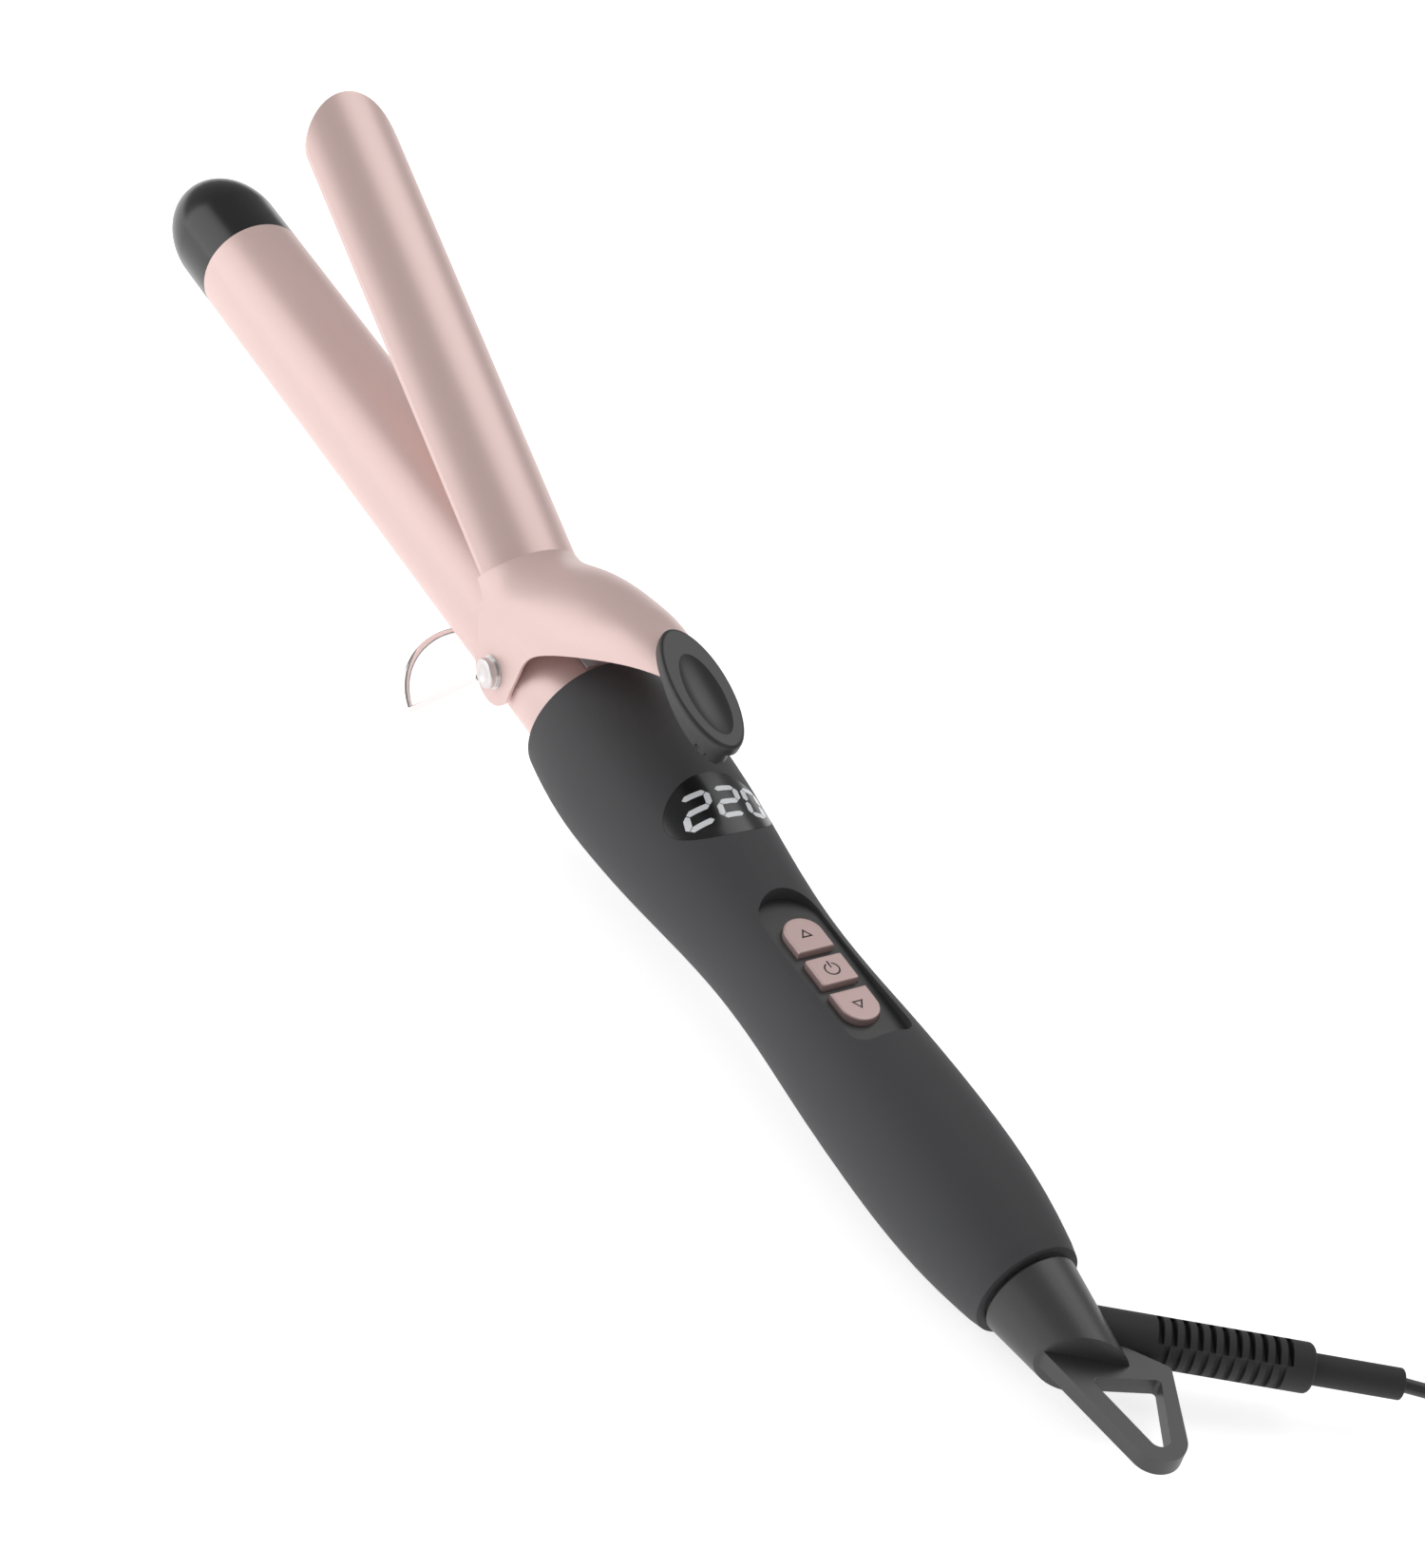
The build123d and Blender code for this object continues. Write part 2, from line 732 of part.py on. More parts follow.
def strain_relief(cone):
    """The ribbed rubber relief with a collar, growing out of the cone."""
    start = relief_point(-14.0)
    end = relief_point(relief_rib_length + relief_collar)
    bar = rod_between(start, end, relief_r)
    ends = bar.edges().filter_by(GeomType.CIRCLE).sort_by(Axis.Y)
    bar = fillet(ends[0], 1.2)
    frame_here = Plane(origin=relief_point(0), x_dir=(0, 0, 1), z_dir=(*relief_dir, 0))
    cuts = Part()
    reach = relief_r - slot_depth / 2 + 0.2
    for k in range(slot_count):
        station = 1.0 + slot_pitch * k
        for side in (-1, 1):
            slot = Box(slot_depth + 0.4, 2 * relief_r * 0.72, slot_width)
            cuts += frame_here * Pos(side * reach, 0, station) * slot
        if k < slot_count - 1:
            for side in (-1, 1):
                slot = Box(2 * relief_r * 0.72, slot_depth * 0.6, slot_width)
                place = relief_r - slot_depth * 0.3
                cuts += frame_here * Pos(0, side * place, station + slot_pitch / 2) * slot
    return bar - cuts - cone


def sleeve():
    """The smooth sleeve between the relief's collar and the cord."""
    start = relief_point(relief_rib_length + relief_collar)
    end = relief_point(relief_rib_length + relief_collar + sleeve_length)
    bar = rod_between(start, end, sleeve_r)
    return fillet(bar.edges().filter_by(GeomType.CIRCLE).sort_by(Axis.Y)[0], 0.5)


def swivel_bearing():
    """The bush in the handle's rear, the ring that keeps the stem, and the contacts."""
    bush = tube_x(-163.6, -152.0, rear_bore_r - shell_gap, stem_r + running_gap)
    bush += tube_x(-152.0, -150.0, rear_bore_r + 0.9, stem_r + running_gap)
    keeper = tube_x(-149.9, -148.9, stem_r + 2.0, stem_r)
    rings = tube_x(-147.5, -146.0, stem_r + 0.8, stem_r)
    rings += tube_x(-143.5, -142.0, stem_r + 0.8, stem_r)
    fingers = Part()
    for x in (-146.75, -142.75):
        finger = block(x - 0.6, x + 0.6, -1.5, 1.5, stem_r + 0.85, stem_r + 1.2)
        fingers += finger
    fingers += block(-148.2, -134.0, -1.5, 1.5, stem_r + 1.2, stem_r + 1.6)
    return bush, keeper, rings, fingers


# ---- Cord, coil and plug, in the standing part's frame ----


def cord_tube(points):
    """A plain tube along straight runs joined by arcs as large as the runs allow."""
    corners = [Vector(p) for p in points]
    radii = []
    for before, here, after in zip(corners, corners[1:], corners[2:]):
        turn = radians((here - before).get_angle(after - here))
        shorter = min((here - before).length, (after - here).length)
        radii.append(0.45 * shorter / tan(turn / 2))
    path = FilletPolyline(*corners, radius=radii)
    tube = sweep(Plane(origin=path @ 0, z_dir=path % 0) * Circle(cord_r), path=path)
    print("cord radii", [round(r, 1) for r in radii], "length", round(path.length, 1))
    print("cord volume", round(tube.volume), "section by length", round(pi * cord_r**2 * path.length))
    return tube


def coil_parts():
    """The closed outer shape of the wound cord, and the strap that ties it."""
    mid_z = tie_t + coil_height / 2
    centre = Pos(*coil_centre, mid_z)
    ring = centre * (Cylinder(coil_outer_r, coil_height) - Cylinder(coil_inner_r, coil_height))
    ring = fillet(ring.edges().filter_by(GeomType.CIRCLE), cord_r)
    radial = coil_outer_r - coil_inner_r
    reach = Pos((coil_outer_r + coil_inner_r) / 2, 0, 0)
    strap = Box(radial + 2 * tie_t, tie_width, coil_height + 2 * tie_t)
    strap -= Box(radial + 0.02, tie_width, coil_height + 0.02)
    return ring, centre * Rot(0, 0, 180) * reach * strap - ring


def plug_parts():
    """A flat two-pin plug lying on the table, with its collar round the cord."""
    x, y, z = plug_rear
    front = -plug_collar - plug_length
    shoulder = front + 6.0
    outline = Polyline(
        (-plug_collar, 5.5),
        (-plug_collar - 7.0, 8.0),
        (shoulder, plug_half_width),
        (front, plug_half_width - 3.5),
        (front, 3.5 - plug_half_width),
        (shoulder, -plug_half_width),
        (-plug_collar - 7.0, -8.0),
        (-plug_collar, -5.5),
        close=True,
    )
    body = extrude(make_face(outline), plug_t / 2, both=True)
    body = fillet(body.edges().group_by(Axis.Z)[0] + body.edges().group_by(Axis.Z)[-1], 2.0)
    collar = turned([(-plug_collar - 1, 0), (-plug_collar - 1, 4.6), (0, 2.6), (0, 0)])
    pins = Part()
    for side in (-1, 1):
        pins += rod_x(front - plug_pin_length, front, plug_pin_r, side * plug_pin_gap / 2, 0)
    pins = fillet(pins.edges().filter_by(GeomType.CIRCLE).group_by(Axis.X)[0], 0.8)
    return Pos(x, y, z) * (body + collar), Pos(x, y, z) * pins


# ---- Build in the wand's frame ----

outside = handle_solid(0)
inside = handle_solid(handle_wall)
upper_shell, lower_shell = handle_shells(outside, inside)
window, segments, module = display_parts(outside)
panel, buttons, switches, board, components = control_parts()
barrel, tip_cap, collar, pivot_ring = barrel_parts()
spread_up, spread_low, ceramics, strips, insulation, sensor, fuse = heater_parts()
pivot_screws, pivot_washers = pivot_parts()
cone = swivel_cone()
bush, keeper, rings, fingers = swivel_bearing()
clip_place = Pos(pivot_x, 0, 0) * Rot(0, -clip_open, 0)

wand_nodes = {
    "handle_upper_shell": upper_shell,
    "handle_lower_shell": lower_shell,
    "handle_screws": handle_screws(),
    "display_window": window,
    "display_segments": segments,
    "display_module": module,
    "button_panel": panel,
    **buttons,
    "tact_switches": switches,
    "circuit_board": board,
    "board_components": components,
    "barrel_tube": barrel,
    "tip_cap": tip_cap,
    "barrel_collar": collar,
    "pivot_ring": pivot_ring,
    "heat_spreader_upper": spread_up,
    "heat_spreader_lower": spread_low,
    "heater_ceramics": ceramics,
    "heater_electrodes": strips,
    "heater_insulation": insulation,
    "temperature_sensor": sensor,
    "thermal_fuse": fuse,
    "heater_leads": heater_leads(),
    "pivot_screws": pivot_screws,
    "pivot_washers": pivot_washers,
    "clip_spring": leaf_spring(),
    "clip_plate": clip_place * clip_sheet(),
    "thumb_rest": clip_place * thumb_piece(),
    "stand_wire": stand_wire(),
    "swivel_tail": cone,
    "swivel_bush": bush,
    "swivel_keeper": keeper,
    "contact_rings": rings,
    "contact_fingers": fingers,
}
relief_nodes = {"strain_relief": strain_relief(cone), "cord_sleeve": sleeve()}

# ---- Stand the wand up: lowest point on the table, centred over the origin ----

tilted = Rot(0, -tilt, 0)
foot = arm_point(arm_length, 0)
low_z = (tilted * Pos(*foot)).position.Z - wire_r
low_x = (tilted * cone).bounding_box().min.X
high_x = (tilted * tip_cap).bounding_box().max.X
standing = Pos(-(low_x + high_x) / 2, 0, -low_z) * tilted

sleeve_end = relief_point(relief_rib_length + relief_collar + sleeve_length)
cord_exit = (standing * Pos(*sleeve_end)).position
coil, tie = coil_parts()
plug_body, plug_pins = plug_parts()

nodes = {name: standing * shape for name, shape in {**wand_nodes, **relief_nodes}.items()}
nodes |= {
    "cord": cord_tube([cord_exit, *cord_route]),
    "cord_coil": coil,
    "coil_tie": tie,
    "cord_tail": cord_tube(tail_route),
    "plug_body": plug_body,
    "plug_pins": plug_pins,
}

if __name__ == "__main__":
    os.makedirs("parts", exist_ok=True)
    for name, shape in nodes.items():
        export_step(shape, f"parts/{name}.step")
    print("wand origin", standing.position, "cord exit", cord_exit)
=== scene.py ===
import json
import math

import bmesh
import bpy
from mathutils import Matrix, Vector

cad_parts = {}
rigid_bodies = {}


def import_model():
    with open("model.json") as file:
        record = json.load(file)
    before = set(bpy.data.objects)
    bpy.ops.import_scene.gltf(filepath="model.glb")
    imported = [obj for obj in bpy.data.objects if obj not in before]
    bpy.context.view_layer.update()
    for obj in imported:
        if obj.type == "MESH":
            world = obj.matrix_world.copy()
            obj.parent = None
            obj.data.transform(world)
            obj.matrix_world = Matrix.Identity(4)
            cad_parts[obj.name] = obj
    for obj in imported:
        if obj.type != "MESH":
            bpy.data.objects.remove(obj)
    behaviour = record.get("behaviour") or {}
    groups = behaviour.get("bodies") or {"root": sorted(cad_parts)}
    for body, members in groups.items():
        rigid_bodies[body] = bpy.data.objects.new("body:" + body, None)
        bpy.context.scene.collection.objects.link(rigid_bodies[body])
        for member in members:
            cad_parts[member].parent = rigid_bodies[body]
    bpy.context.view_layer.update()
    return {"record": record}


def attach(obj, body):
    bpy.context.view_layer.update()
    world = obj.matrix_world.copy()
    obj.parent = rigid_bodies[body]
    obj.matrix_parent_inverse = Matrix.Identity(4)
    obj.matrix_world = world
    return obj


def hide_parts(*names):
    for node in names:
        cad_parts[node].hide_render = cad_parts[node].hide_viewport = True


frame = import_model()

# Curling wand: finishes, cord, display digits, button icons and a plain studio around the
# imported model. The wand's own frame has +X along the barrel to the tip, +Y to its left and
# +Z through the clip and the buttons, with its origin on the axis at the handle's mouth.

bl_info = {
    "name": "Curling wand",
    "version": (1, 0, 0),
    "blender": (4, 5, 0),
    "location": "3D View > Sidebar > Wand",
    "description": "Finishes, cord and studio for a spring-clip curling wand",
    "category": "Object",
}

MM = 0.001

# ---- Where the wand stands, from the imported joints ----

JOINTS = {joint["name"]: joint for joint in frame["record"]["behaviour"]["joints"]}
SWIVEL_X = -165.0 * MM
WAND_AXIS = Vector(JOINTS["tail_swivel"]["axis"])
TILT = math.atan2(WAND_AXIS.z, WAND_AXIS.x)
WAND_ORIGIN = Vector(JOINTS["tail_swivel"]["pos_m"]) - SWIVEL_X * WAND_AXIS
WAND = Matrix.Translation(WAND_ORIGIN) @ Matrix.Rotation(-TILT, 4, "Y")

# ---- The cord's route on the table, in metres ----

CORD_EXIT = (-0.2023, -0.0561, 0.0091)
CORD_ROUTE = [
    CORD_EXIT,
    (-0.2098, -0.0681, 0.0069),
    (-0.2190, -0.0795, 0.0039),
    (-0.2320, -0.0872, 0.0020),
    (-0.2470, -0.0902, 0.0018),
]
TAIL_ROUTE = [
    (-0.2540, -0.0459, 0.0093),
    (-0.2440, -0.0359, 0.0053),
    (-0.2438, -0.0218, 0.0030),
    (-0.2538, -0.0118, 0.0047),
    (-0.2675, -0.0116, 0.0069),
]
COIL_CENTRE = (-0.2620, -0.0680)
COIL_START = math.radians(-90)
COIL_TURNS = 15.5
COIL_LAYERS = 4
COIL_OUTER = 22.3 * MM
COIL_FLOOR = 1.9 * MM
POINTS_PER_TURN = 16


# ---- Button icons: middle of each button along the wand, and the icon's turn ----

MARKS = {
    "button_up": (-79.45 * MM, 0.0),
    "button_power": (-89.60 * MM, 0.0),
    "button_down": (-99.65 * MM, math.pi),
}
MARK_TOP = 12.06 * MM
MARK_DEEP = 0.24 * MM
MARK_SIZE = 1.66 * MM
MARK_LINE = 0.34 * MM
ARROW_SIZE = 0.95 * MARK_SIZE
BAR_LENGTH = 1.1 * MARK_SIZE
BAR_MIDDLE = 0.75 * MARK_SIZE
RING_SIDES = 40

# ---- Shader maths ----


class Wire:
    """A socket whose arithmetic adds Math nodes to its material."""

    def __init__(self, shader, socket):
        self.shader = shader
        self.socket = socket

    def maths(self, operation, *values):
        return self.shader.node("ShaderNodeMath", {"operation": operation}, *values)

    def __add__(self, other):
        return self.maths("ADD", self, other)

    def __radd__(self, other):
        return self.maths("ADD", other, self)

    def __sub__(self, other):
        return self.maths("SUBTRACT", self, other)

    def __rsub__(self, other):
        return self.maths("SUBTRACT", other, self)

    def __mul__(self, other):
        return self.maths("MULTIPLY", self, other)

    def __rmul__(self, other):
        return self.maths("MULTIPLY", other, self)


class Shader:
    """One material's nodes."""

    def __init__(self, name):
        self.material = bpy.data.materials.new(name)
        self.material.use_nodes = True
        self.tree = self.material.node_tree
        self.surface = self.tree.nodes["Principled BSDF"]

    def node(self, kind, settings=None, *values, out=0, **named):
        """Adds a node, makes its settings, then feeds its sockets with values or wires."""
        made = self.tree.nodes.new(kind)
        for key, value in (settings or {}).items():
            setattr(made, key, value)
        for index, value in enumerate(values):
            self.feed(made.inputs[index], value)
        for key, value in named.items():
            self.feed(made.inputs[key], value)
        return Wire(self, made.outputs[out])

    def feed(self, socket, value):
        if isinstance(value, Wire):
            self.tree.links.new(value.socket, socket)
        elif value is not None:
            socket.default_value = value

    def set(self, **inputs):
        """Sets the surface's own sockets, such as Base_Color or Roughness."""
        for key, value in inputs.items():
            self.feed(self.surface.inputs[key.replace("_", " ")], value)

    def place(self, stretch=(1, 1, 1)):
        """Object coordinates, stretched along the axes."""
        spot = self.node("ShaderNodeTexCoord", out=3)
        return self.node("ShaderNodeMapping", None, spot, Scale=stretch)

    def noise(self, scale, detail=2.0, stretch=(1, 1, 1)):
        """A fractal noise from 0 to 1."""
        spot = self.place(stretch)
        return self.node("ShaderNodeTexNoise", None, Vector=spot, Scale=scale, Detail=detail)

    def shade(self, mask, dark, light):
        """A colour between two, by a mask."""
        pair = {"data_type": "RGBA"}
        return self.node("ShaderNodeMix", pair, mask, None, None, None, None, None, dark, light, out=2)

    def bump(self, height, strength, distance):
        normal = self.node("ShaderNodeBump", None, Strength=strength, Distance=distance, Height=height)
        self.set(Normal=normal)


def rgba(colour, factor=1.0):
    """A colour with full alpha, made lighter or darker."""
    return (*(min(1.0, part * factor) for part in colour), 1.0)


def moulded(name, colour, roughness, grain=2600.0, relief=0.012, drift=0.08):
    """Moulded plastic or rubber: a fine spark-eroded grain and slow drifts of tone."""
    shader = Shader(name)
    slow = shader.noise(90.0, 3.0)
    fine = shader.noise(grain, 2.0)
    shader.set(
        Base_Color=shader.shade(slow, rgba(colour, 1 - drift), rgba(colour, 1 + drift)),
        Roughness=roughness - 0.03 + 0.06 * slow,
    )
    shader.bump(fine, 0.35, relief * MM)
    return shader


def metallic(name, colour, roughness, brushed=(1, 1, 1), relief=0.004, drift=0.05):
    """Bare or plated metal with fine marks along its working direction."""
    shader = Shader(name)
    slow = shader.noise(120.0, 3.0)
    marks = shader.noise(900.0, 3.0, brushed)
    shader.set(
        Base_Color=shader.shade(slow, rgba(colour, 1 - drift), rgba(colour, 1 + drift)),
        Metallic=1.0,
        Roughness=roughness - 0.04 + 0.08 * marks,
    )
    shader.bump(marks, 0.25, relief * MM)
    return shader


def soft_grip():
    """The handle's soft-touch paint."""
    shader = moulded("soft_grip", (0.006, 0.006, 0.0063), 0.40, 3200.0, 0.010, 0.06)
    shader.set(Specular_IOR_Level=0.26)
    return shader


def satin_rose():
    """Pearly rose paint on the barrel and the clip, fired to a satin gloss."""
    shader = Shader("satin_rose")
    slow = shader.noise(60.0, 3.0)
    flake = shader.noise(9000.0, 1.0)
    shader.set(
        Base_Color=shader.shade(slow, (0.700, 0.490, 0.462, 1), (0.730, 0.515, 0.486, 1)),
        Metallic=0.25,
        Roughness=0.38 + 0.05 * flake,
        Coat_Weight=0.5,
        Coat_Roughness=0.14,
    )
    shader.bump(flake, 0.12, 0.004 * MM)
    return shader


def button_rose():
    """Metallic rose lacquer on the buttons."""
    shader = Shader("button_rose")
    flake = shader.noise(7000.0, 2.0)
    shader.set(
        Base_Color=shader.shade(flake, (0.400, 0.250, 0.232, 1), (0.460, 0.300, 0.280, 1)),
        Metallic=0.45,
        Roughness=0.36 + 0.08 * flake,
    )
    shader.bump(flake, 0.2, 0.006 * MM)
    return shader


def tip_gloss():
    """Polished black cap at the tip."""
    return moulded("tip_gloss", (0.003, 0.003, 0.004), 0.05, 700.0, 0.002, 0.2)


def thumb_black():
    """Heat-proof moulding of the thumb rest."""
    return moulded("thumb_black", (0.006, 0.006, 0.0065), 0.30, 2800.0, 0.010)


def tail_black():
    return moulded("tail_black", (0.012, 0.012, 0.0125), 0.45, 2600.0, 0.010)


def relief_rubber():
    return moulded("relief_rubber", (0.013, 0.013, 0.0135), 0.50, 2200.0, 0.014)


def cord_black():
    return moulded("cord_black", (0.014, 0.014, 0.0145), 0.42, 1800.0, 0.016)


def plug_black():
    return moulded("plug_black", (0.028, 0.028, 0.029), 0.40, 2400.0, 0.014)


def tie_black():
    return moulded("tie_black", (0.015, 0.015, 0.015), 0.60, 1500.0, 0.020)


def screen_gloss():
    """Smoked, polished window over the digits."""
    return moulded("screen_gloss", (0.005, 0.005, 0.006), 0.07, 500.0, 0.001, 0.2)


def screen_digits():
    """White digits lit from behind."""
    shader = Shader("screen_digits")
    glow = shader.noise(400.0, 1.0)
    shader.set(
        Base_Color=shader.shade(glow, (0.80, 0.82, 0.84, 1), (0.92, 0.93, 0.94, 1)),
        Roughness=0.35,
        Emission_Color=shader.shade(glow, (0.85, 0.88, 0.92, 1), (0.95, 0.96, 1.0, 1)),
        Emission_Strength=1.0,
    )
    return shader


def wire_chrome():
    return metallic("wire_chrome", (0.27, 0.27, 0.28), 0.08, (1, 1, 1), 0.001, 0.02)


def pivot_steel():
    return metallic("pivot_steel", (0.33, 0.33, 0.33), 0.14, (1, 6, 1), 0.003)


def spring_steel():
    return metallic("spring_steel", (0.42, 0.43, 0.45), 0.34, (0.2, 4, 1), 0.004)


def pin_brass():
    return metallic("pin_brass", (0.72, 0.70, 0.66), 0.20, (0.2, 3, 3), 0.003)


def contact_brass():
    return metallic("contact_brass", (0.72, 0.52, 0.24), 0.30, (0.3, 3, 3), 0.004)


def spreader_alloy():
    return metallic("spreader_alloy", (0.68, 0.68, 0.70), 0.38, (0.1, 5, 5), 0.006)


def board_green():
    return moulded("board_green", (0.020, 0.150, 0.060), 0.35, 1200.0, 0.010)


def part_black():
    return moulded("part_black", (0.025, 0.025, 0.025), 0.30, 1600.0, 0.010)


def ceramic_white():
    return moulded("ceramic_white", (0.74, 0.71, 0.64), 0.60, 1400.0, 0.020)


def film_amber():
    return moulded("film_amber", (0.50, 0.22, 0.03), 0.28, 900.0, 0.006)


def lead_sleeve():
    return moulded("lead_sleeve", (0.62, 0.60, 0.56), 0.50, 1600.0, 0.012)


def inner_nylon():
    return moulded("inner_nylon", (0.10, 0.10, 0.10), 0.50, 1800.0, 0.012)


FINISHES = {
    maker.__name__: maker
    for maker in (
        soft_grip, satin_rose, button_rose, tip_gloss, thumb_black, tail_black,
        relief_rubber, cord_black, plug_black, tie_black, screen_gloss, screen_digits,
        wire_chrome, pivot_steel, spring_steel, pin_brass, contact_brass, spreader_alloy,
        board_green, part_black, ceramic_white, film_amber, lead_sleeve, inner_nylon,
    )
}


def finish(name):
    """A finish by name, made once."""
    known = bpy.data.materials.get(name)
    if known is None:
        known = FINISHES[name]().material
    return known


# ---- Mesh helpers ----


def keep(mesh, name, place=None):
    """A new object at the origin from a bmesh, with its place put into its mesh."""
    if place is not None:
        mesh.transform(place)
    bmesh.ops.recalc_face_normals(mesh, faces=mesh.faces)
    data = bpy.data.meshes.new(name)
    mesh.to_mesh(data)
    mesh.free()
    piece = bpy.data.objects.new(name, data)
    bpy.context.scene.collection.objects.link(piece)
    return piece


def dress(piece, body, slot):
    """Puts a piece on a body, and gives it a slot's finish."""
    piece.data.materials.clear()
    piece.data.materials.append(finish(slot))
    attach(piece, body)
    return piece


def node_copy(node):
    """A merged copy of a CAD node's mesh."""
    mesh = bmesh.new()
    mesh.from_mesh(bpy.data.objects[node].data)
    bmesh.ops.remove_doubles(mesh, verts=mesh.verts, dist=0.002 * MM)
    return mesh


# ---- Sizes and colours a user would change ----


class WandSizes(bpy.types.PropertyGroup):
    """Sizes of the pieces added to the wand."""

    cord_diameter: bpy.props.FloatProperty(
        name="Cord diameter",
        description="Outside diameter of the cord",
        default=2.8 * MM,
        unit="LENGTH",
    )
    digit_lift: bpy.props.FloatProperty(
        name="Digit lift",
        description="How far the digits move outwards, from under the window to its face",
        default=1.24 * MM,
        unit="LENGTH",
    )


class StageLook(bpy.types.PropertyGroup):
    """The studio round the wand."""

    floor_colour: bpy.props.FloatVectorProperty(
        name="Floor",
        description="Colour of the floor",
        default=(0.92, 0.92, 0.92),
        subtype="COLOR",
    )
    floor_size: bpy.props.FloatProperty(
        name="Floor size",
        description="Width of the square floor",
        default=6.0,
        unit="LENGTH",
    )
    lens: bpy.props.FloatProperty(
        name="Lens",
        description="Focal length of the camera",
        default=86.1,
        unit="CAMERA",
    )


def sizes():
    return bpy.context.scene.wand_sizes


# ---- Operators ----


class BuildStage(bpy.types.Operator):
    """Build the floor, the lights and the camera"""

    bl_idname = "curling_wand.stage"
    bl_label = "Stage"

    camera_place = (-0.5084, 0.3811, 0.4746)
    camera_turn = (53.699, -10.307, -121.460)

    def execute(self, context):
        look = context.scene.wand_stage
        self.floor(look)
        self.lights()
        self.camera(context, look)
        context.scene.view_settings.view_transform = "Standard"
        return {"FINISHED"}

    def floor(self, look):
        mesh = bmesh.new()
        bmesh.ops.create_grid(mesh, x_segments=1, y_segments=1, size=look.floor_size / 2)
        floor = keep(mesh, "floor")
        shader = Shader("floor")
        tone = shader.noise(2.0, 1.0)
        colour = tuple(look.floor_colour)
        pale = shader.shade(tone, rgba(colour, 0.99), rgba(colour))
        shader.set(Base_Color=pale, Roughness=0.8, Emission_Color=pale, Emission_Strength=0.75)
        floor.data.materials.append(shader.material)

    def lights(self):
        """A tall soft box past the tip on the left, one overhead on the right, and a fill."""
        boxes = {
            "key_box": ((0.62, 0.89, 0.42), (1.2, 0.9), 5.6),
            "top_box": ((0.15, -0.66, 0.98), (0.6, 1.0), 4.2),
            "fill_box": ((-1.10, 0.30, 0.90), (0.5, 0.9), 1.0),
        }
        for name, (spot, size, power) in boxes.items():
            lamp = bpy.data.lights.new(name, "AREA")
            lamp.shape = "RECTANGLE"
            lamp.size, lamp.size_y = size
            lamp.energy = power
            holder = bpy.data.objects.new(name, lamp)
            holder.location = spot
            holder.rotation_euler = Vector(spot).to_track_quat("Z", "Y").to_euler()
            bpy.context.scene.collection.objects.link(holder)
        world = bpy.data.worlds.new("studio")
        world.use_nodes = True
        sky = world.node_tree.nodes["Background"]
        sky.inputs["Color"].default_value = (1, 1, 1, 1)
        sky.inputs["Strength"].default_value = 0.30
        bpy.context.scene.world = world

    def camera(self, context, look):
        eye = bpy.data.cameras.new("camera")
        eye.lens = look.lens
        eye.sensor_width = 36.0
        eye.clip_start = 0.01
        holder = bpy.data.objects.new("camera", eye)
        holder.location = self.camera_place
        holder.rotation_euler = [math.radians(turn) for turn in self.camera_turn]
        context.scene.collection.objects.link(holder)
        context.scene.camera = holder


def coil_points():
    """The coil's turns: each layer spirals in or out, and the next lies on top of it."""
    steps = round(COIL_TURNS * POINTS_PER_TURN)
    pitch = sizes().cord_diameter
    layer_turns = COIL_TURNS / COIL_LAYERS
    points = []
    for step in range(steps + 1):
        turns = step / POINTS_PER_TURN
        layer, part = divmod(turns / layer_turns, 1.0)
        inward = part if layer % 2 == 0 else 1.0 - part
        if layer >= COIL_LAYERS:
            inward = 0.0
        radius = COIL_OUTER - inward * layer_turns * pitch
        climb = min(max((turns - round(turns / layer_turns) * layer_turns) / 0.5 + 0.5, 0), 1)
        storey = min(max(round(turns / layer_turns) - 1 + climb, 0), COIL_LAYERS - 1)
        angle = COIL_START - 2 * math.pi * turns
        points.append(
            (
                COIL_CENTRE[0] + radius * math.cos(angle),
                COIL_CENTRE[1] + radius * math.sin(angle),
                COIL_FLOOR + storey * pitch,
            )
        )
    return points


class BuildCord(bpy.types.Operator):
    """Build the mains cord, its coil and its tail to the plug"""

    bl_idname = "curling_wand.cord"
    bl_label = "Cord"

    def execute(self, context):
        points = [*CORD_ROUTE, *coil_points(), *TAIL_ROUTE]
        curve = bpy.data.curves.new("mains_cord", "CURVE")
        curve.dimensions = "3D"
        curve.bevel_depth = sizes().cord_diameter / 2
        curve.bevel_resolution = 5
        curve.use_fill_caps = True
        spline = curve.splines.new("NURBS")
        spline.points.add(len(points) - 1)
        for point, place in zip(spline.points, points):
            point.co = (*place, 1.0)
        spline.order_u = 3
        spline.use_endpoint_u = True
        spline.resolution_u = 4
        cord = bpy.data.objects.new("mains_cord", curve)
        context.scene.collection.objects.link(cord)
        dress(cord, "tail", "cord_black")
        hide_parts("cord", "cord_coil", "cord_tail")
        return {"FINISHED"}


class DressModel(bpy.types.Operator):
    """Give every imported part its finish"""

    bl_idname = "curling_wand.finishes"
    bl_label = "Finishes"

    def execute(self, context):
        for entry in frame["record"]["subparts"]:
            part = bpy.data.objects[entry["node"]]
            for holder in part.material_slots:
                holder.material = finish(entry["material_slot"])
        return {"FINISHED"}


class BuildDigits(bpy.types.Operator):
    """Build the lit digits that show at the window's face"""

    bl_idname = "curling_wand.digits"
    bl_label = "Digits"

    def execute(self, context):
        mesh = node_copy("display_segments")
        mesh.transform(WAND.inverted())
        for corner in mesh.verts:
            outward = Vector((0, corner.co.y, corner.co.z))
            corner.co += outward.normalized() * sizes().digit_lift
        digits = keep(mesh, "lit_digits", WAND)
        dress(digits, "handle", "screen_digits")
        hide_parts("display_segments")
        return {"FINISHED"}


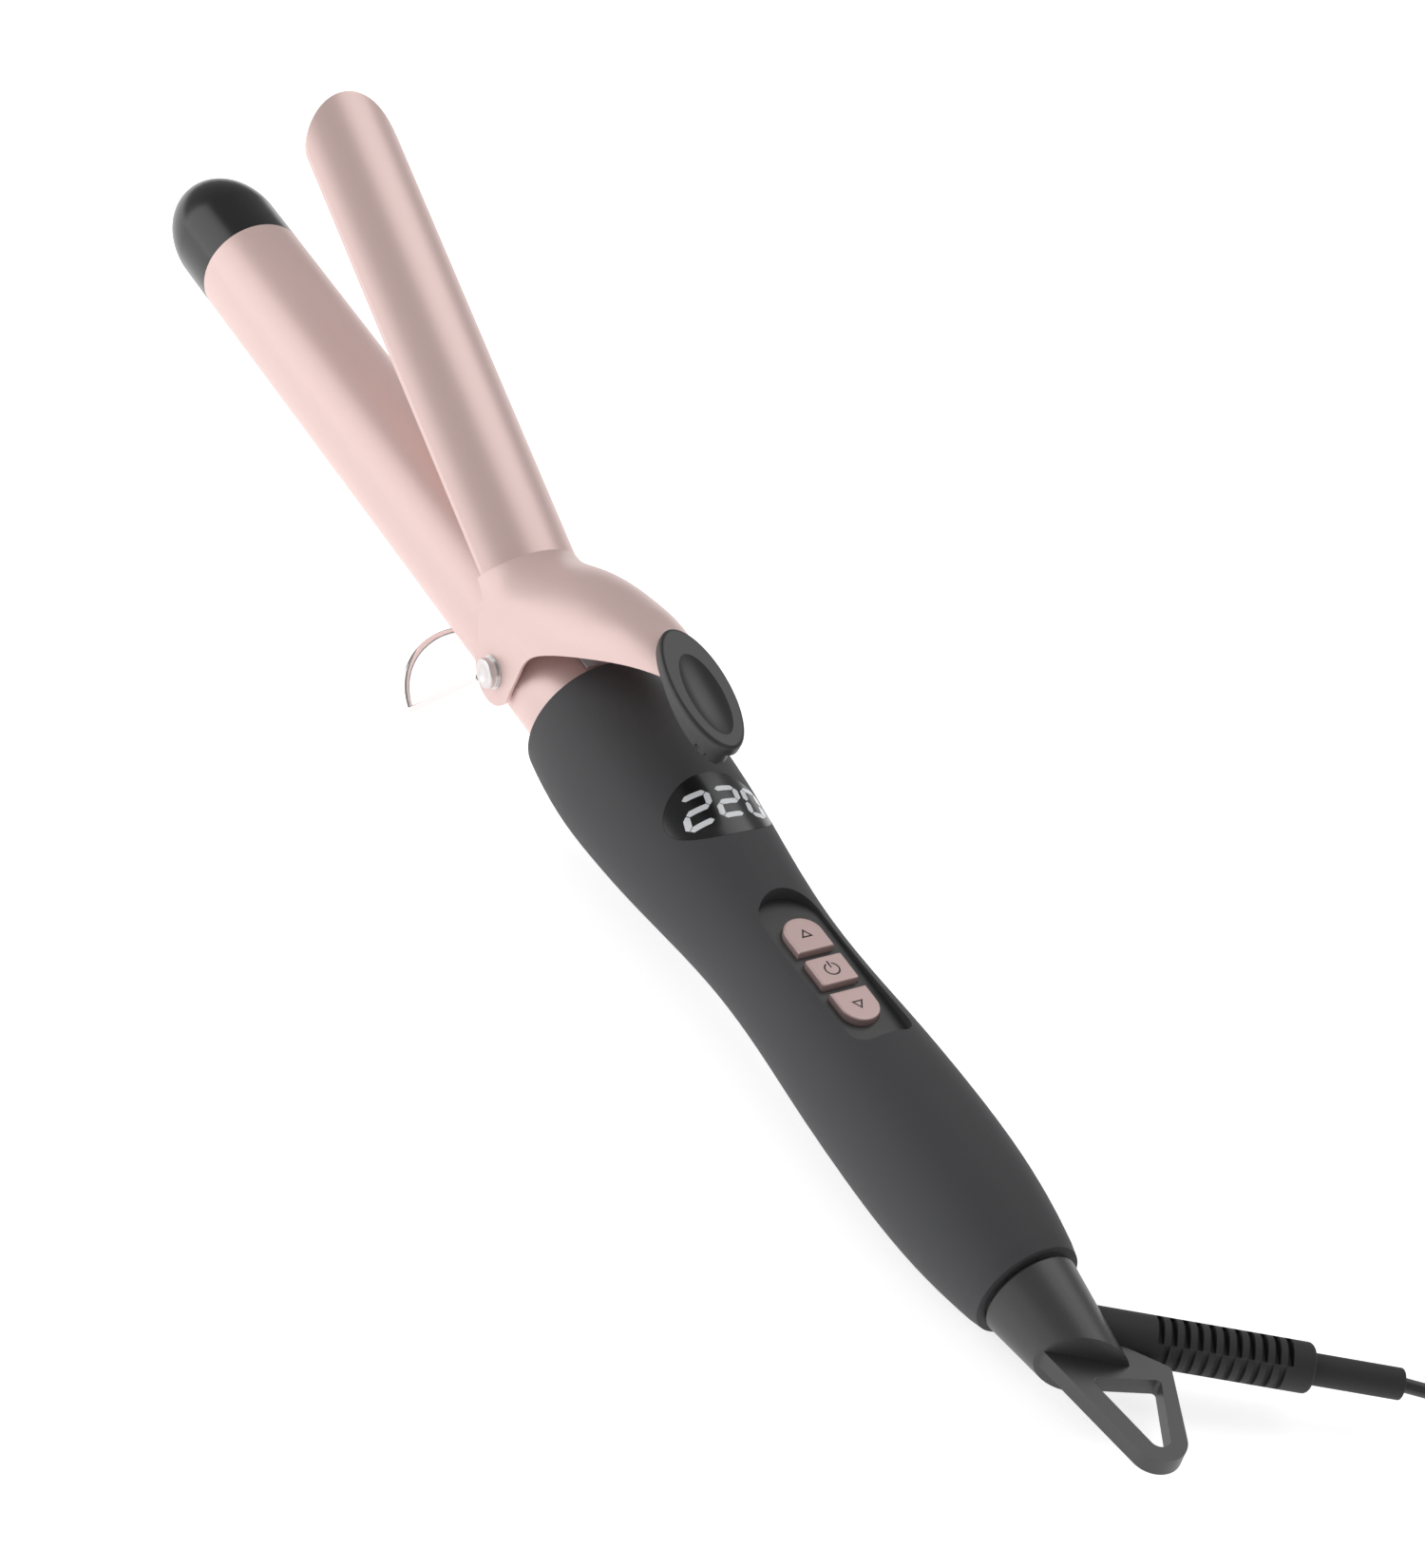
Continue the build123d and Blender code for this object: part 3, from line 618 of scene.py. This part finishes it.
class BuildMarks(bpy.types.Operator):
    """Build the dark fills of the icons engraved in the buttons"""

    bl_idname = "curling_wand.marks"
    bl_label = "Button icons"

    def execute(self, context):
        for button, (middle, turn) in MARKS.items():
            mesh = bmesh.new()
            if button == "button_power":
                self.outline(mesh, RING_SIDES, MARK_SIZE)
                bar = Matrix.Diagonal((BAR_LENGTH, MARK_LINE, MARK_DEEP, 1))
                bar = Matrix.Translation((BAR_MIDDLE, 0, 0)) @ bar
                bmesh.ops.create_cube(mesh, size=1, matrix=bar)
            else:
                self.outline(mesh, 3, ARROW_SIZE)
            bmesh.ops.transform(mesh, matrix=Matrix.Rotation(turn, 4, "Z"), verts=mesh.verts)
            spot = Matrix.Translation((middle, 0, MARK_TOP - MARK_DEEP / 2))
            fill = keep(mesh, button + "_icon", WAND @ spot)
            dress(fill, button, "part_black")
        return {"FINISHED"}

    def outline(self, mesh, sides, reach):
        """A thin closed band round a many-sided figure whose first corner is at +X."""
        turn = Matrix.Rotation(math.radians(-90), 4, "Z")
        inner = reach - MARK_LINE / math.cos(math.pi / sides)
        rims = []
        for radius in (reach, inner):
            ring = bmesh.ops.create_circle(mesh, segments=sides, radius=radius, matrix=turn)
            rims += {edge for corner in ring["verts"] for edge in corner.link_edges}
        faces = bmesh.ops.bridge_loops(mesh, edges=rims)["faces"]
        bmesh.ops.translate(mesh, vec=(0, 0, -MARK_DEEP / 2), verts=mesh.verts)
        grown = bmesh.ops.extrude_face_region(mesh, geom=faces, use_keep_orig=True)["geom"]
        raised = [part for part in grown if isinstance(part, bmesh.types.BMVert)]
        bmesh.ops.translate(mesh, vec=(0, 0, MARK_DEEP), verts=raised)


class WandPanel(bpy.types.Panel):
    """The wand's build steps"""

    bl_idname = "VIEW3D_PT_curling_wand"
    bl_label = "Curling wand"
    bl_space_type = "VIEW_3D"
    bl_region_type = "UI"
    bl_category = "Wand"

    def draw(self, context):
        for step in STEPS:
            self.layout.operator(step.bl_idname)
        for group in (context.scene.wand_sizes, context.scene.wand_stage):
            for key in group.__annotations__:
                self.layout.prop(group, key)


GROUPS = (WandSizes, StageLook)
STEPS = (BuildStage, BuildCord, DressModel, BuildDigits, BuildMarks)


def register():
    for made in (*GROUPS, *STEPS, WandPanel):
        bpy.utils.register_class(made)
    bpy.types.Scene.wand_sizes = bpy.props.PointerProperty(type=WandSizes)
    bpy.types.Scene.wand_stage = bpy.props.PointerProperty(type=StageLook)


def unregister():
    del bpy.types.Scene.wand_stage
    del bpy.types.Scene.wand_sizes
    for made in reversed((*GROUPS, *STEPS, WandPanel)):
        bpy.utils.unregister_class(made)


def main():
    register()
    for step in STEPS:
        group, name = step.bl_idname.split(".")
        getattr(getattr(bpy.ops, group), name)()


if __name__ == "__main__":
    main()
